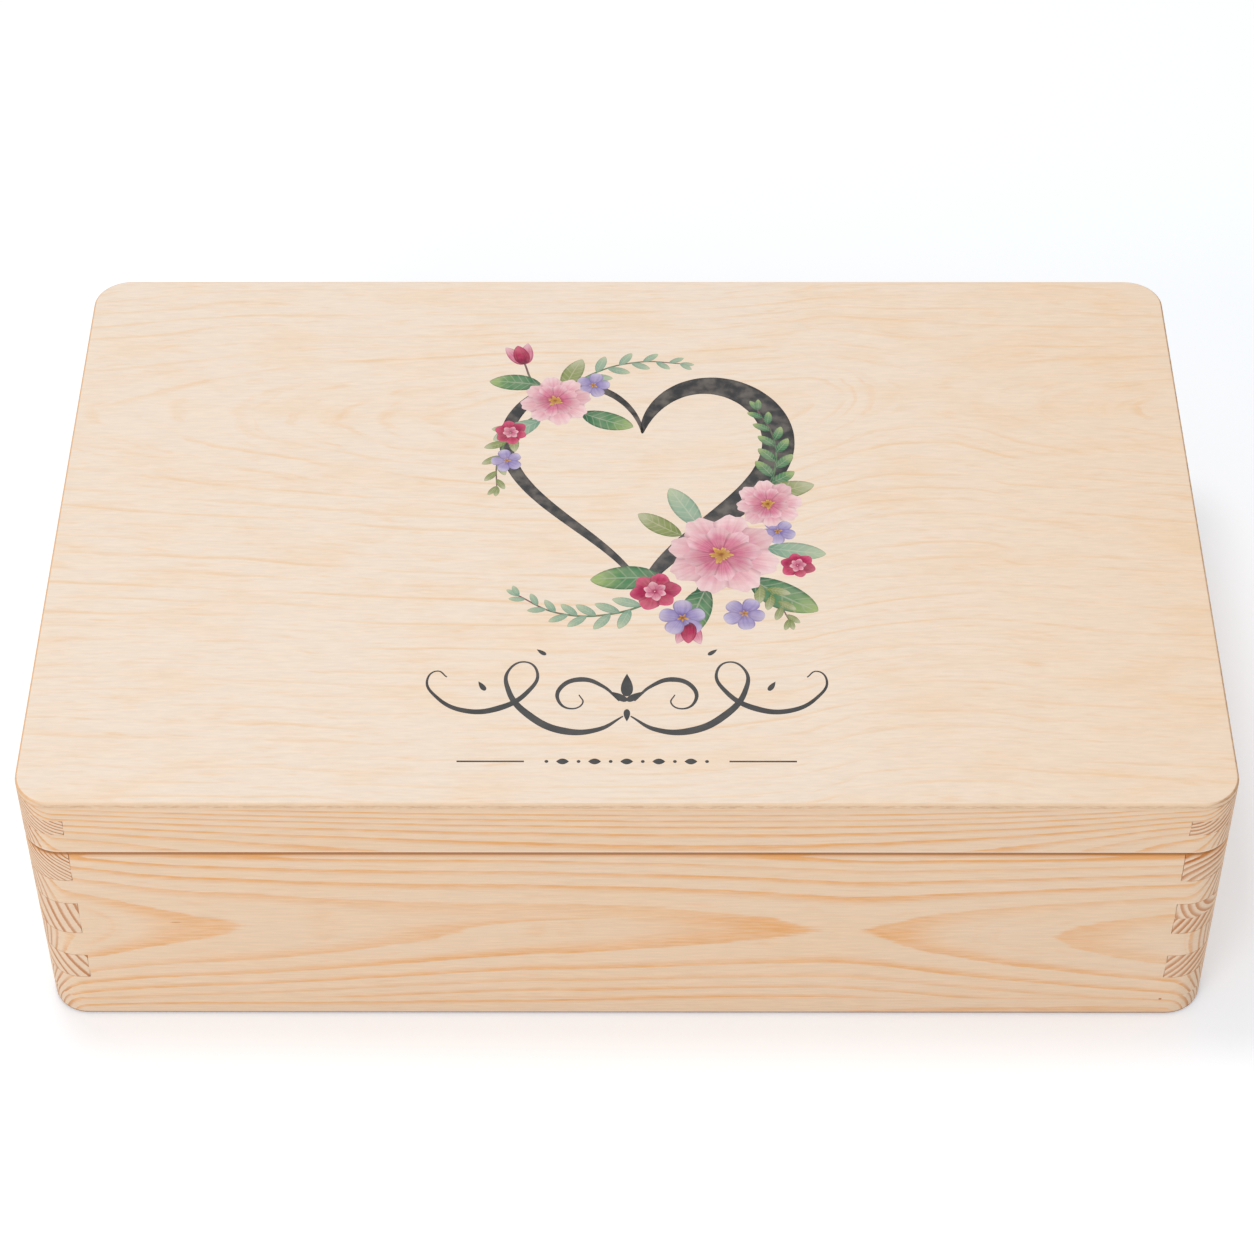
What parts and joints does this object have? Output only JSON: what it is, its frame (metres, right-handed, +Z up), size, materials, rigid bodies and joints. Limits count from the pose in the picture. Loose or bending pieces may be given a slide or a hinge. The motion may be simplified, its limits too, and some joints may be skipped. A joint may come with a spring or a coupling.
{
  "type": "keepsake box",
  "caption": "Low rectangular wooden box for papers and keepsakes, with finger-jointed corners and a hinged lid with a plywood top.",
  "frame": {"origin": "middle of the underside, on the surface that the box stands on", "axes": "+X to the box's right seen from the front, +Y to the hinged back, +Z up"},
  "size_m": [0.38, 0.247, 0.106],
  "materials": {
    "pine": "sanded, unfinished pine with orange-tan growth lines",
    "plywood": "sanded, unfinished pale plywood",
    "hinge_brass": "brass, lightly brushed",
    "screw_brass": "brass-plated screws"
  },
  "bodies": {
    "base": {"base_front": "pine", "base_front_strip": "pine", "base_back": "pine", "base_left": "pine", "base_left_strip": "pine", "base_right": "pine", "base_right_strip": "pine", "base_floor": "plywood", "hinge_base_leaf_left": "hinge_brass", "hinge_base_leaf_right": "hinge_brass", "hinge_pin_left": "hinge_brass", "hinge_pin_right": "hinge_brass", "hinge_base_screws_left": "screw_brass", "hinge_base_screws_right": "screw_brass"},
    "lid": {"lid_front": "pine", "lid_back": "pine", "lid_left": "pine", "lid_right": "pine", "lid_panel": "plywood", "hinge_lid_leaf_left": "hinge_brass", "hinge_lid_leaf_right": "hinge_brass", "hinge_lid_screws_left": "screw_brass", "hinge_lid_screws_right": "screw_brass"}
  },
  "joints": [
    {"name": "lid_hinge", "type": "hinge", "parent": "base", "child": "lid", "pos_m": [0, 0.121, 0.08215], "axis": [-1, 0, 0], "range_deg": [0, 100]}
  ]
}
